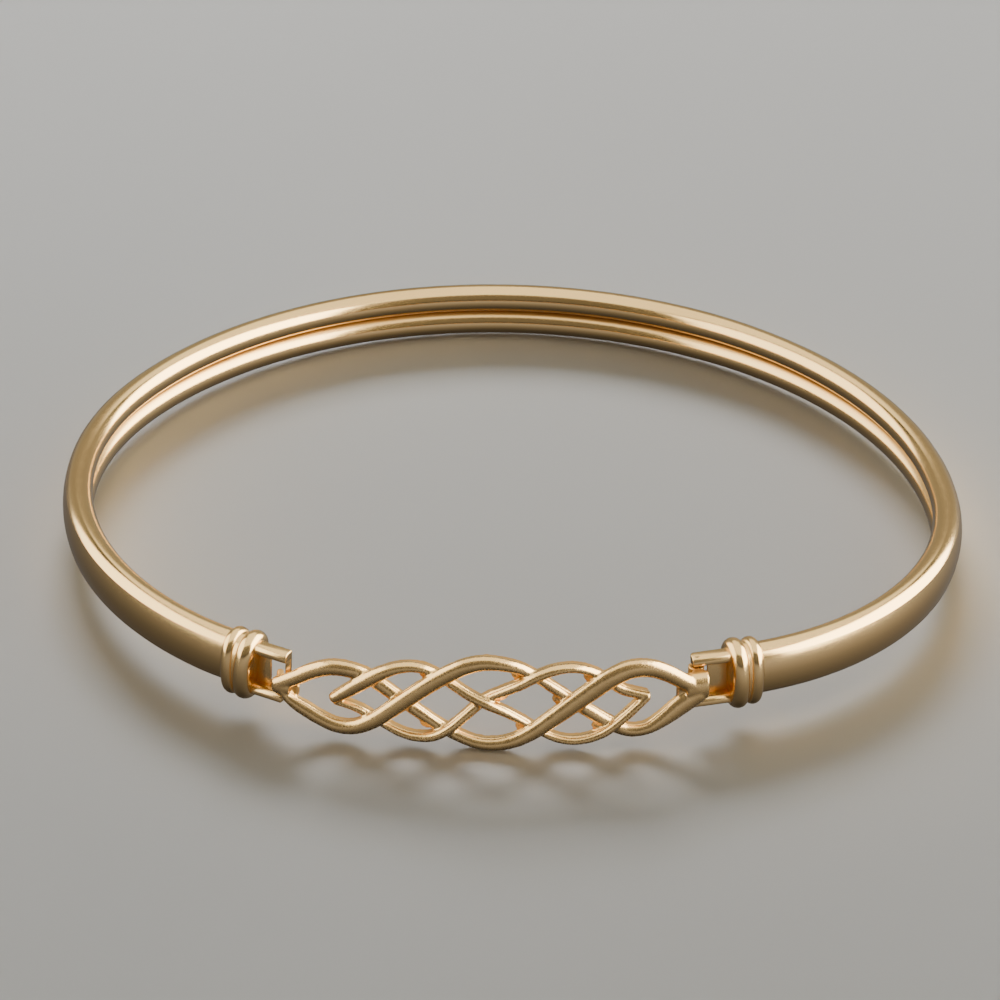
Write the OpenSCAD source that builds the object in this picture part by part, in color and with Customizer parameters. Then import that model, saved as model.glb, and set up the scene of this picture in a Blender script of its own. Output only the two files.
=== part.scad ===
// Hinged bangle: a hollow sprung band with a woven knot panel across its front.
// The bangle lies on its side, +Z up, with the panel towards -Y and the wrist axis vertical.
// Seen from above, the oval is walked from the middle of the panel to the right,
// round the back and home again, and a heading is the walking direction in degrees.

/* [Oval] */
// Radius of the panel's gentle curve, at the band's crest line
panel_r = 57.5; // [50:0.5:70]
// Turn from the panel's middle to the hinge pin, and to the catch bar
panel_turn = 15; // [13:0.5:16]
// Bend between the panel and the fitting that holds the hinge pin
hinge_bend = 5.5; // [2:0.5:8]
// Radius of the tight bend on the hinge side
hinge_side_r = 23.2; // [22:0.1:24]
// Turn of the bend on the hinge side
hinge_side_turn = 75.5; // [74:0.5:77]
// Turn of the back
back_turn = 143.5; // [142:0.5:146]
// Turn of the long bend on the catch side
catch_side_turn = 82.5; // [81:0.5:84]
// Radius of the short shoulder beside the catch
catch_shoulder_r = 16.4; // [15:0.1:18]
// Turn of the short shoulder beside the catch
catch_shoulder_turn = 9; // [8:0.5:11]
// How far the fitting beside the catch stands out from the panel's crest line
catch_out = 0.45; // [0.3:0.05:0.5]

/* [Band] */
// Height of the band, along the wrist
band_h = 4; // [3.8:0.02:4.1]
// Thickness of the band, from its inner beads to its crest
band_t = 2.2; // [2.1:0.05:2.3]
// Wall of the rolled tube
wall_t = 0.35; // [0.25:0.05:0.45]

/* [End fittings] */
// Length of the hinge fitting, from the end of the panel's curve to the tube
hinge_fitting_l = 4.7; // [4.6:0.1:5.2]
// Length of the catch fitting, from the end of the panel's curve to the tube
catch_fitting_l = 4.4; // [4.3:0.1:4.7]
// Width of the collar's ring beside the stirrup
front_ring_w = 1.3; // [1.2:0.05:1.4]
// Width of the collar's ring on the tube
rear_ring_w = 1.05; // [1:0.05:1.2]
// How far the ring beside the stirrup stands out from the tube
front_ring_proud = 0.72; // [0.6:0.02:0.8]
// How far the ring on the tube stands out from it
rear_ring_proud = 0.6; // [0.5:0.02:0.7]
// Height of the stirrup over both arms
stirrup_h = 4.05; // [3.9:0.05:4.1]
// Height of each arm
arm_h = 0.68; // [0.6:0.02:0.7]
// Depth of the stirrup, inwards
stirrup_depth = 1; // [0.95:0.05:1.1]
// How far the hinge arms reach towards the panel
hinge_nose = 0.42; // [0.4:0.02:0.5]
// How far the catch's upper arm reaches towards the panel
catch_nose = 0.6; // [0.55:0.05:0.65]
// How far the catch's lower arm reaches, behind the lug
catch_low_nose = 0.25; // [0.2:0.05:0.3]
// Front face of the hinge stirrup, inwards from the crest line
hinge_inset = 0.3; // [0.3:0.02:0.4]
// Front face of the catch stirrup, inwards from the crest line
catch_inset = 0.15; // [0.1:0.05:0.2]
// Turn of the hinge stirrup against its collar
stirrup_turn = 3.5; // [0:0.5:5]
// Thickness of the wall that closes a stirrup behind
back_wall_t = 0.2; // [0.15:0.05:0.25]
// Hinge pin, along the stirrup from the end of the panel's curve
pin_along = -0.04; // [-0.06:0.02:0]
// Radius of the hinge pin
pin_r = 0.26; // [0.24:0.01:0.3]
// Running clearance round the hinge pin
pin_clearance = 0.05; // [0.03:0.01:0.07]
// Gap round the riveted ends of the hinge pin
rivet_gap = 0.01; // [0.01:0.01:0.02]
// Width of the catch bar, along the stirrup
catch_bar_w = 0.45; // [0.4:0.05:0.5]

/* [Knot panel] */
// Height of a strand's rounded front
strand_crown = 0.5; // [0.45:0.05:0.6]
// Depth of a strand behind its widest line
strand_root = 0.6; // [0.5:0.05:0.8]
// Flat back of the weave, inwards from the crest line
weave_back = 0.5; // [0.4:0.05:0.7]
// Middle of the weave, outwards from the crest line
weave_out = 0.3; // [0.25:0.05:0.4]
// How far a strand rises over, or dips under, the middle of the weave
weave_step = 0.28; // [0.2:0.02:0.34]
// How far the middle of the weave hangs below the middle of the band
weave_drop = 0.4; // [0.2:0.05:0.45]
// Tilt of the weave, with the free end low
weave_tilt = 0.8; // [0:0.1:0.9]
// Height of the lug beside the hinge
hinge_lug_h = 2; // [1.8:0.05:2.05]
// Height of the lug beside the catch
catch_lug_h = 1.42; // [1.2:0.02:1.44]
// Outer radius of the knuckle round the pin
knuckle_r = 0.56; // [0.54:0.01:0.6]

/* [Hidden] */
$fn = 48;
overlap = 0.05;
gold = [0.82, 0.66, 0.42];
deep_gold = [0.72, 0.52, 0.27];

// Where the walk heads at each joint of the oval.
hinge_heading = panel_turn + hinge_bend;
back_heading = hinge_heading + hinge_side_turn;
catch_side_heading = back_heading + back_turn;
shoulder_heading = catch_side_heading + catch_side_turn;
catch_heading = shoulder_heading + catch_shoulder_turn;

function ahead(heading) = [cos(heading), sin(heading)];
function outwards(heading) = [sin(heading), -cos(heading)];
// The way that an arc of radius 1 covers.
function unit_arc(heading, turn) = outwards(heading + turn) - outwards(heading);
function cross2(a, b) = a[0] * b[1] - a[1] * b[0];

// The back and the long bend take the two radii that close the oval.
known_way = 2 * panel_r * sin(panel_turn) * [1, 0]
    + hinge_fitting_l * ahead(hinge_heading)
    + catch_fitting_l * ahead(catch_heading)
    - catch_out * outwards(catch_heading)
    + hinge_side_r * unit_arc(hinge_heading, hinge_side_turn)
    + catch_shoulder_r * unit_arc(shoulder_heading, catch_shoulder_turn);
back_way = unit_arc(back_heading, back_turn);
catch_side_way = unit_arc(catch_side_heading, catch_side_turn);
back_r = cross2(catch_side_way, known_way) / cross2(back_way, catch_side_way);
catch_side_r = cross2(known_way, back_way) / cross2(back_way, catch_side_way);

// The tube's arcs, from the hinge to the catch: radius, heading, turn, and whether the arc is a hair slimmer,
// so that both its ends slip into the arcs beside it.
TUBE = [
    [hinge_side_r, hinge_heading, hinge_side_turn, 0],
    [back_r, back_heading, back_turn, 1],
    [catch_side_r, catch_side_heading, catch_side_turn, 0],
    [catch_shoulder_r, shoulder_heading, catch_shoulder_turn, 1],
];
tube_lap = 0.4;
slim = 0.012;

// Points of the crest line, from the middle of the panel.
hinge_point = panel_r * [sin(panel_turn), 1 - cos(panel_turn)];
free_point = [-hinge_point[0], hinge_point[1]];
catch_point = free_point + catch_out * outwards(catch_heading);
tube_start = hinge_point + hinge_fitting_l * ahead(hinge_heading);
function arc_start(i) = i == 0
    ? tube_start
    : arc_start(i - 1) + TUBE[i - 1][0] * unit_arc(TUBE[i - 1][1], TUBE[i - 1][2]);
function arc_centre(i) = arc_start(i) - TUBE[i][0] * outwards(TUBE[i][1]);
right_edge = (arc_centre(0) + TUBE[0][0] * outwards(90))[0];
back_edge = (arc_centre(1) + TUBE[1][0] * outwards(180))[1];
left_edge = (arc_centre(2) + TUBE[2][0] * outwards(270))[0];

// Band section: two beads on the inside, one broad crown outside.
bead_r = band_h / 4 + 0.02;
bead_up = band_h / 2 - bead_r;
bead_in = band_t - bead_r;
crown_short = bead_in - bead_r;
crown_back = (bead_up * bead_up - crown_short * crown_short) / (2 * crown_short);
crown_r = crown_back + bead_in;
crown_half_angle = atan2(bead_up, crown_back);
seam_web = 0.42;

// The outline from one bead over the crown to the other, grown all round: inwards, up.
function crown_outline(grow, steps) = [
    for (i = [0:steps])
        let (a = crown_half_angle * (2 * i / steps - 1))
        [bead_in + crown_back - (crown_r + grow) * cos(a), (crown_r + grow) * sin(a)]
];
function bead_outline(grow, side, from, to, steps) = [
    for (i = [0:steps])
        let (a = from + (to - from) * i / steps)
        [bead_in - (bead_r + grow) * cos(a), side * bead_up + (bead_r + grow) * sin(a)]
];
function d_outline(grow, steps) = concat(
    crown_outline(grow, steps),
    bead_outline(grow, 1, crown_half_angle, 180, steps),
    bead_outline(grow, -1, 180, 360 - crown_half_angle, steps)
);

// The section as true circles, with x inwards and y up. The crown stops at a fine step on each bead.
module section(grow, crown_h, crown_depth) {
    for (side = [-1, 1])
        translate([bead_in, side * bead_up])
            circle(bead_r + grow);
    intersection() {
        translate([bead_in + crown_back, 0])
            circle(crown_r + grow, $fn = 128);
        translate([-1, -crown_h / 2])
            square([1 + crown_depth, crown_h]);
    }
}

module tube_section(less) {
    difference() {
        section(-less, band_h * 0.7 - 2 * less, bead_in);
        section(less - wall_t, band_h * 0.5 + 2 * less, bead_in - seam_web + less);
    }
}

module tube() {
    for (i = [0:len(TUBE) - 1]) {
        arc = TUBE[i];
        lap = arc[3] * tube_lap / arc[0] * 180 / PI;
        translate(arc_centre(i))
            rotate(arc[1] - 90 - lap)
                rotate_extrude(angle = arc[2] + 2 * lap, $fn = 128)
                    translate([arc[0], 0])
                        mirror([1, 0])
                            tube_section(arc[3] * slim);
    }
}

// A thin plate in the section's outline, across a fitting's length.
module plate(at, grow) {
    translate([at, 0, 0])
        rotate([90, 0, 90])
            linear_extrude(0.02)
                polygon(d_outline(grow, 8));
}

// One rounded ring of a collar. It leans with its top towards the panel.
RING_STEPS = [[0, 0.4], [0.14, 0.7], [0.34, 0.94], [0.5, 1], [0.66, 0.94], [0.86, 0.7], [1, 0.4]];
module ring(from, width, proud, lean) {
    translate([from + width / 2, 0, 0])
        rotate([0, -lean, 0])
            hull()
                for (step = RING_STEPS)
                    plate((width - 0.02) * (step[0] - 0.5), proud * step[1]);
}

// The collar and stirrup of a fitting. +X runs from the panel to the tube, +Y inwards.
function rear_ring_from(length) = length + overlap - rear_ring_w;
function front_ring_from(length) = rear_ring_from(length) - front_ring_w;
pin_in = hinge_inset + stirrup_depth / 2;
opening_h = stirrup_h - 2 * arm_h;

// A collar sits on its tube a little outwards and low, and its core fills the groove between the rings.
module collar(length, out, down, lean) {
    front = front_ring_from(length);
    rear = rear_ring_from(length);
    translate([0, -out, -down]) {
        ring(front, front_ring_w, front_ring_proud, lean);
        ring(rear, rear_ring_w, rear_ring_proud, 0);
        hull() {
            plate(front + 0.5, 0.36);
            plate(rear + 0.5, 0.36);
        }
    }
}

// Two arms and the wall behind them, from the nose into the collar.
module stirrup(length, inset, wall_from, nose, low_nose) {
    reach = front_ring_from(length) + 0.5;
    translate([-nose, inset, opening_h / 2])
        cube([reach + nose, stirrup_depth, arm_h]);
    translate([-low_nose, inset, -stirrup_h / 2])
        cube([reach + low_nose, stirrup_depth, arm_h]);
    translate([wall_from, inset + stirrup_depth - back_wall_t, -opening_h / 2 - arm_h / 2])
        cube([reach - wall_from, back_wall_t, opening_h + arm_h]);
}

// The hinge stirrup turns a little against its collar.
module at_hinge_stirrup() {
    root = [front_ring_from(hinge_fitting_l), pin_in];
    translate(root)
        rotate(-stirrup_turn)
            translate(-root)
                children();
}

module hinge_fitting() {
    collar(hinge_fitting_l, 0.05, 0.1, 2);
    at_hinge_stirrup()
        difference() {
            stirrup(hinge_fitting_l, hinge_inset, 0.9, hinge_nose, hinge_nose);
            translate([pin_along, pin_in, -stirrup_h])
                cylinder(r = pin_r + rivet_gap, h = 2 * stirrup_h);
        }
}

module catch_fitting() {
    collar(catch_fitting_l, 0.2, 0.15, 5);
    stirrup(catch_fitting_l, catch_inset, 1.05, catch_nose, catch_low_nose);
    translate([-catch_nose, bar_in, -opening_h / 2 - arm_h / 2])
        cube([catch_bar_w, bar_depth, opening_h + arm_h]);
}
bar_in = 0.9;
bar_depth = 0.25;

module at_hinge() {
    translate(hinge_point)
        rotate(hinge_heading)
            children();
}

module at_catch() {
    translate(catch_point)
        rotate(catch_heading)
            mirror([1, 0, 0])
                children();
}

// Weave tables: along the panel from its middle, up, level, width of the strand.
// Level 1 lies over the other strands, and -1 lies under them.
// From the top of the free lug, under the middle of the panel and over to the hinge lug
UPPER_LEFT = [
    [-15.2, 0.18, 0, 1.13],
    [-13.9, 0.88, 0, 1.21],
    [-12.6, 1.67, 0.1, 1.24],
    [-11.3, 2.17, 0.3, 1.25],
    [-10, 2.15, 0.2, 1.22],
    [-8.6, 1.54, -0.8, 1.18],
    [-7.3, 0.65, -0.9, 1.12],
    [-6, -0.3, -1, 1.07],
    [-4.7, -1.23, -0.8, 1.02],
    [-3.4, -2.12, -0.7, 0.98],
    [-2, -2.86, -0.5, 0.97],
    [-0.7, -3.21, 0.4, 1],
    [0.6, -3.21, 0.8, 1.06],
    [1.9, -2.84, 1, 1.16],
    [3.2, -2.08, 1, 1.27],
    [4.6, -0.97, 1, 1.39],
    [5.9, 0.07, 1, 1.48],
    [7.2, 1.1, 1, 1.53],
    [8.5, 2.01, 1, 1.53],
    [9.8, 2.52, 0.7, 1.48],
    [11.2, 2.44, 0.4, 1.4],
    [12.5, 1.83, 0.1, 1.31],
    [13.8, 0.94, 0, 1.24],
    [15.1, 0.2, 0, 1.2],
];
// From the bottom of the free lug, over the middle of the panel and under to the hinge lug
LOWER_LEFT = [
    [-14.8, -0.12, 0, 0.58],
    [-14.32, -0.74, 0, 0.84],
    [-13.7, -1.22, 0, 1.04],
    [-13, -1.62, 0, 1.1],
    [-12.1, -2.1, 0.1, 1.12],
    [-10.8, -2.55, 0.3, 1.13],
    [-9.5, -2.44, 0.7, 1.2],
    [-8.2, -1.74, 1, 1.28],
    [-6.9, -0.67, 1, 1.34],
    [-5.7, 0.38, 1, 1.36],
    [-4.4, 1.45, 1, 1.36],
    [-3.1, 2.39, 1, 1.33],
    [-1.8, 3.13, 1, 1.27],
    [-0.5, 3.43, 0.8, 1.17],
    [0.8, 3.29, 0.5, 1.04],
    [2.1, 2.83, -0.1, 0.91],
    [3.3, 2, -0.8, 0.85],
    [4.6, 0.99, -0.9, 0.89],
    [5.9, -0.07, -1, 1],
    [7.2, -1.06, -0.8, 1.09],
    [8.5, -1.99, -0.7, 1.09],
    [9.8, -2.65, -0.5, 1.02],
    [11.1, -2.56, 0, 1.01],
    [12.3, -1.88, 0.1, 1.28],
    [13.6, -0.92, 0, 1.58],
    [14.9, -0.12, 0, 1.42],
];
// From the rounded tip near the free lug to the corner near the hinge lug, first high and then low
TIP = [
    [-11, -0.26, 0.2, 0.88],
    [-9.8, 0.66, 0.6, 1.15],
    [-8.6, 1.6, 1, 1.17],
    [-7.4, 2.36, 0.9, 1.03],
    [-6.2, 2.78, 0.5, 0.86],
    [-5, 2.73, -0.2, 0.77],
    [-3.8, 2.17, -0.9, 0.75],
    [-2.6, 1.34, -0.8, 0.78],
    [-1.4, 0.64, 0.2, 0.81],
    [-0.2, 0.09, 0.9, 0.82],
    [1, -0.55, 0.5, 0.77],
    [2.2, -1.39, -0.4, 0.69],
    [3.4, -2.29, -1, 0.66],
    [4.6, -2.93, -0.6, 0.66],
    [5.8, -3.14, 0, 0.66],
    [7, -2.93, 0.6, 0.69],
    [8.2, -2.35, 1, 0.74],
    [9.5, -1.25, 1, 0.74],
    [11.1, 0.24, 0.4, 0.68],
];
// From behind that tip to the same corner, first low and then high
TUCKED = [
    [-10.9, -0.62, -0.5, 0.56],
    [-10, -0.82, -0.5, 0.58],
    [-9, -1.2, -0.5, 0.63],
    [-7.7, -2.06, -1, 0.63],
    [-6.5, -2.64, -0.5, 0.66],
    [-5.3, -2.91, 0.1, 0.72],
    [-4, -2.74, 0.7, 0.79],
    [-2.8, -2.01, 0.8, 0.82],
    [-1.6, -0.9, 0.1, 0.82],
    [-0.4, 0.15, -0.9, 0.81],
    [0.9, 0.97, -0.1, 0.81],
    [2.1, 1.68, 0.8, 0.82],
    [3.3, 2.4, 1, 0.81],
    [4.5, 2.84, 0.8, 0.76],
    [5.8, 2.88, 0.2, 0.69],
    [7, 2.45, -0.4, 0.71],
    [8.2, 1.64, -1, 0.79],
    [9.4, 0.69, -0.7, 0.86],
    [11.15, 0.24, 0.3, 0.68],
];

// A smooth curve through the rows, at row number t.
function blend(a, b, c, d, f) =
    0.5 * (2 * b + (c - a) * f + (2 * a - 5 * b + 4 * c - d) * f * f + (3 * b - a - 3 * c + d) * f * f * f);
function along(rows, t) =
    let (last = len(rows) - 1, i = min(floor(t), last - 1))
    blend(rows[max(i - 1, 0)], rows[i], rows[i + 1], rows[min(i + 2, last)], t - i);

// A point of the panel: along its curve, up, and out from the crest line.
function on_panel(x, up, out) =
    let (a = x / panel_r * 180 / PI, r = panel_r + out)
    [r * sin(a), panel_r - r * cos(a), up - weave_drop + x * tan(weave_tilt)];

// Strand section: across in half widths, out in mm.
crown_steps = 8;
STRAND_SECTION = concat(
    [[-0.72, -strand_root], [0.72, -strand_root]],
    [for (i = [0:crown_steps]) let (a = 180 * i / crown_steps) [cos(a), strand_crown * sin(a)]]
);
// The weave's back is flat, and thins out towards the fittings.
thin_back = 0.05;
function back_in(x) = thin_back + (weave_back - thin_back) * min(1, max(0, (14.1 - abs(x)) / 1.4));

function strand_ring(rows, t) =
    let (
        here = along(rows, t),
        way = along(rows, min(t + 0.05, len(rows) - 1)) - along(rows, max(t - 0.05, 0)),
        run = norm([way[0], way[1]]),
        across = [-way[1], way[0]] / run * here[3] / 2
    )
    [
        for (p = STRAND_SECTION)
            on_panel(
                here[0] + across[0] * p[0],
                here[1] + across[1] * p[0],
                max(weave_out + weave_step * here[2] + p[1], -back_in(here[0]))
            )
    ];

function ring_count(rows) = round((len(rows) - 1) * 3);
function strand_points(rows) = [
    for (i = [0:ring_count(rows)])
        each strand_ring(rows, (len(rows) - 1) * i / ring_count(rows))
];

module strand(rows) {
    rings = ring_count(rows);
    sides = len(STRAND_SECTION);
    points = strand_points(rows);
    walls = [
        for (i = [0:rings - 1], k = [0:sides - 1])
            let (a = i * sides + k, b = i * sides + (k + 1) % sides)
            each [[a, b + sides, b], [a, a + sides, b + sides]]
    ];
    near_end = [for (k = [0:sides - 1]) k];
    far_end = [for (k = [sides - 1:-1:0]) rings * sides + k];
    polyhedron(points, concat(walls, [near_end, far_end]), convexity = 6);
}

module weave() {
    strand(UPPER_LEFT);
    strand(LOWER_LEFT);
    strand(TIP);
    strand(TUCKED);
}

// The rounded end of the weave, in front of a fitting's stirrup. +X runs away from the panel.
lug_r = 0.53;
module lug(middle_up, height) {
    translate([0, -weave_out, middle_up - height / 2])
        cylinder(r = lug_r, h = height);
    translate([-0.8, -weave_out - lug_r, middle_up - height / 2])
        cube([0.8, 2 * lug_r, height]);
}

hinge_lug_up = 0.18;
catch_lug_up = -0.53;

module hinge_end() {
    translate(hinge_point)
        rotate(panel_turn) {
            lug(hinge_lug_up, hinge_lug_h);
            translate([-1.8, -0.4, -0.6])
                cube([1.1, 0.6, 1]);
        }
    at_hinge() at_hinge_stirrup() {
        translate([pin_along, pin_in, hinge_lug_up - hinge_lug_h / 2])
            cylinder(r = knuckle_r, h = hinge_lug_h);
        translate([pin_along - 0.45, -weave_out, hinge_lug_up - hinge_lug_h / 2])
            cube([0.9, pin_in + weave_out, hinge_lug_h]);
    }
}

// A straight tongue that reaches in behind the catch bar, along the way the panel swings.
tongue_w = 0.5;
tongue_h = 0.95;
tongue_gap = 0.1;
tongue_l = 1.25;
bar_corner = [catch_bar_w - catch_nose, bar_in];
tongue_x = catch_point[0] - bar_corner[0] * cos(catch_heading) - bar_corner[1] * sin(catch_heading) - tongue_gap;

module catch_end() {
    translate(free_point)
        rotate(-panel_turn)
            mirror([1, 0, 0]) {
                lug(catch_lug_up, catch_lug_h);
                translate([-1.45, -0.15, -1.25])
                    cube([0.8, 0.35, 0.8]);
            }
    translate([tongue_x - tongue_w, free_point[1] - 0.2, catch_lug_up - tongue_h / 2])
        cube([tongue_w, tongue_l + 0.2 - tongue_w / 2, tongue_h]);
    translate([tongue_x - tongue_w / 2, free_point[1] + tongue_l - tongue_w / 2, catch_lug_up - tongue_h / 2])
        cylinder(r = tongue_w / 2, h = tongue_h);
}

// The origin stands under the middle of the whole bangle, level with the lowest point of the weave.
WEAVE_POINTS = [for (rows = [UPPER_LEFT, LOWER_LEFT]) each strand_points(rows)];
front_edge = min([for (p = WEAVE_POINTS) p[1]]);
weave_foot = min([for (p = WEAVE_POINTS) p[2]]);
origin_shift = [-(right_edge + left_edge) / 2, -(front_edge + back_edge) / 2, -weave_foot];

module band() {
    color(gold)
        translate(origin_shift) {
            tube();
            at_hinge() hinge_fitting();
            at_catch() catch_fitting();
        }
}

module hinge_pin() {
    color(deep_gold)
        translate(origin_shift)
            at_hinge() at_hinge_stirrup()
                translate([pin_along, pin_in, -stirrup_h / 2])
                    cylinder(r = pin_r, h = stirrup_h);
}

module knot_panel() {
    color(gold)
        translate(origin_shift)
            difference() {
                union() {
                    resize([0, 0, 0]) weave();
                    hinge_end();
                    catch_end();
                }
                at_hinge() at_hinge_stirrup()
                    translate([pin_along, pin_in, -stirrup_h])
                        cylinder(r = pin_r + pin_clearance, h = 2 * stirrup_h);
            }
}

band();
hinge_pin();
knot_panel();
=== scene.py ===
"""Dresses the hinged bangle: a rolled gold band with collared ends, and a cast knot panel in front."""

import math

import bmesh
import bpy
from mathutils import Matrix, Vector


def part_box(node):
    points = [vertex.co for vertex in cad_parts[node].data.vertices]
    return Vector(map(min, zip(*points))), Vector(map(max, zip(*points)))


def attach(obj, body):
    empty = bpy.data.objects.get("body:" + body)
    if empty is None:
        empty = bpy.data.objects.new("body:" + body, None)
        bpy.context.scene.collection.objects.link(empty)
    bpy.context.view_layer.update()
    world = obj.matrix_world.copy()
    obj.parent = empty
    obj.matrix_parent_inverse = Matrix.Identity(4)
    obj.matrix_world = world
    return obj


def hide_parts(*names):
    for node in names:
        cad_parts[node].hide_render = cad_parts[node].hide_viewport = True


bl_info = {
    "name": "Hinged Bangle",
    "version": (1, 0, 0),
    "blender": (4, 5, 0),
    "location": "3D View > Sidebar > Bangle",
    "description": "Builds the band, its end fittings, the knot panel and the studio for a hinged bangle",
    "category": "Add Mesh",
}

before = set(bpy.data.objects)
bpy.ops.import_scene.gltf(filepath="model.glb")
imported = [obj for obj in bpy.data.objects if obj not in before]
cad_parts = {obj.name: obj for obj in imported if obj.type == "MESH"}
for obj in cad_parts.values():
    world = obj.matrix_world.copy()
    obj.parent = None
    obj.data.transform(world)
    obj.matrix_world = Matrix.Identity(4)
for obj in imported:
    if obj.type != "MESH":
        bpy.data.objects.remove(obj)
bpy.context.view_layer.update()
# The walk round the oval is in millimetres, and the frame is in metres.
MM = 0.001
PER_METRE = 1000
UP = Vector((0, 0, 1))


def heading_of(degrees):
    """The way that a walk round the oval heads, seen from above."""
    return Vector((math.cos(math.radians(degrees)), math.sin(math.radians(degrees)), 0))


def outwards_of(degrees):
    """Straight out from the wrist, beside a walk that heads this way."""
    return Vector((math.sin(math.radians(degrees)), -math.cos(math.radians(degrees)), 0))


def size_setting(name, description, default):
    """A property that holds one size, share or angle."""
    return bpy.props.FloatProperty(name=name, description=description, default=default)


def colour_setting(name, description, default):
    """A property that holds a colour and its alpha."""
    return bpy.props.FloatVectorProperty(
        name=name, description=description, subtype="COLOR", size=4, min=0, max=1, default=default
    )


class OvalSizes(bpy.types.PropertyGroup):
    """The oval that the crest line follows, in millimetres and degrees."""

    panel_r: size_setting("Panel radius", "Radius of the panel's curve", 57.5)
    panel_turn: size_setting("Panel turn", "Turn from the panel's middle to an end, in degrees", 15)
    hinge_bend: size_setting("Hinge bend", "Bend between the panel and the hinge collar, in degrees", 5.5)
    hinge_side_r: size_setting("Hinge side radius", "Radius of the bend on the hinge side", 23.2)
    hinge_side_turn: size_setting("Hinge side turn", "Turn of the bend by the hinge, in degrees", 75.5)
    back_turn: size_setting("Back turn", "Turn of the back, in degrees", 143.5)
    catch_side_turn: size_setting("Catch side turn", "Turn of the long bend by the catch, in degrees", 82.5)
    shoulder_r: size_setting("Shoulder radius", "Radius of the short shoulder beside the catch", 16.4)
    shoulder_turn: size_setting("Shoulder turn", "Turn of the short shoulder beside the catch, in degrees", 9)
    catch_out: size_setting("Catch offset", "How far the catch fitting stands out from the panel", 0.45)


class BandSizes(bpy.types.PropertyGroup):
    """The band's section, in millimetres."""

    height: size_setting("Height", "Height of the band", 4.0)
    thickness: size_setting("Thickness", "From the inner beads to the crest", 2.2)
    crown_part: size_setting("Crown part", "Share of the height that the crown takes", 0.7)
    step: size_setting("Step", "Degrees between two sections of the tube", 1.5)


class FittingSizes(bpy.types.PropertyGroup):
    """The collars and stirrups, in millimetres. They are measured from the end of the panel's curve."""

    hinge_l: size_setting("Hinge length", "From the panel's end to the tube", 4.7)
    catch_l: size_setting("Catch length", "From the panel's end to the tube", 4.4)
    lap: size_setting("Lap", "How far a collar reaches over the tube's end", 0.05)
    front_ring_w: size_setting("Front ring", "Width of the ring by the stirrup", 1.3)
    front_proud: size_setting("Front ring height", "How far the ring by the stirrup stands out", 0.7)
    rear_ring_w: size_setting("Rear ring", "Width of the ring on the tube", 1.05)
    rear_proud: size_setting("Rear ring height", "How far the ring on the tube stands out", 0.58)
    core_proud: size_setting("Core height", "How far the groove between the rings stands out", 0.34)
    stirrup_h: size_setting("Stirrup height", "Height over both arms", 4.07)
    arm_h: size_setting("Arm height", "Height of each arm", 0.69)
    depth: size_setting("Stirrup depth", "Depth of the stirrup, inwards", 1.0)
    hinge_nose: size_setting("Hinge nose", "Reach of the hinge arms", 0.42)
    catch_nose: size_setting("Catch nose", "Reach of the upper catch arm", 0.6)
    low_nose: size_setting("Low nose", "Reach of the lower catch arm", 0.25)
    hinge_in: size_setting("Hinge inset", "Crest line to the hinge arms", 0.3)
    catch_in: size_setting("Catch inset", "Crest line to the catch arms", 0.15)
    turn: size_setting("Stirrup turn", "Turn of the hinge stirrup, in degrees", 3.5)
    wall: size_setting("Back wall", "Thickness of the wall behind a stirrup", 0.2)
    pin_along: size_setting("Pin place", "Hinge pin, along the stirrup", -0.04)
    bar_w: size_setting("Bar width", "Width of the catch bar", 0.45)
    bar_in: size_setting("Bar inset", "Crest line to the catch bar", 0.9)
    bar_depth: size_setting("Bar depth", "Depth of the catch bar", 0.25)


class KnotSizes(bpy.types.PropertyGroup):
    """The knot panel, in millimetres."""

    crown: size_setting("Crown", "Height of a strand's rounded front", 0.5)
    root: size_setting("Root", "Depth of a strand behind its widest line", 0.6)
    back: size_setting("Back", "Crest line to the weave's flat back", 0.49)
    thin_back: size_setting("Thin back", "The same, beside the fittings", 0.05)
    out: size_setting("Out", "Middle of the weave, out from the crest line", 0.3)
    weave: size_setting("Weave", "Rise over, and dip under, the middle", 0.28)
    drop: size_setting("Drop", "How far the weave hangs below the band", 0.4)
    tilt: size_setting("Tilt", "Tilt with the free end low, in degrees", 0.8)
    lug_r: size_setting("Lug radius", "Half the lug's thickness", 0.53)
    hinge_lug_h: size_setting("Hinge lug", "Height of the lug by the pin", 2.0)
    hinge_lug_up: size_setting("Hinge lug middle", "Middle of that lug", 0.18)
    catch_lug_h: size_setting("Free lug", "Height of the lug by the catch", 1.42)
    catch_lug_up: size_setting("Free lug middle", "Middle of that lug", -0.53)
    knuckle_r: size_setting("Knuckle radius", "Outside of the knuckle", 0.56)
    bore_r: size_setting("Bore radius", "Inside of the knuckle", 0.31)
    tongue_w: size_setting("Tongue width", "Width of the catch tongue", 0.5)
    tongue_h: size_setting("Tongue height", "Height of the catch tongue", 0.95)
    tongue_l: size_setting("Tongue length", "Reach of the catch tongue", 1.25)
    tongue_gap: size_setting("Tongue gap", "From the tongue to the bar", 0.1)
    grain: size_setting("Skin step", "Fineness of the cast skin", 0.08)


class FinishColours(bpy.types.PropertyGroup):
    """The colours of the gold and of the floor."""

    gold: colour_setting("Gold", "Polished gold", (0.62, 0.43, 0.205, 1))
    # The amber and the deep gold are colours of painted shade: grooves and corners turn towards them where
    # the piece hides the room. In the knot the amber is also the unpolished cast's own patina.
    amber: colour_setting("Amber", "Rough gold in corners", (0.64, 0.36, 0.11, 1))
    deep_gold: colour_setting("Deep gold", "Gold in recesses", (0.38, 0.19, 0.055, 1))
    floor: colour_setting("Floor", "Studio floor", (0.62, 0.62, 0.62, 1))


def sizes(group):
    """A property group that belongs to the scene."""
    return getattr(bpy.context.scene, group)


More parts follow.
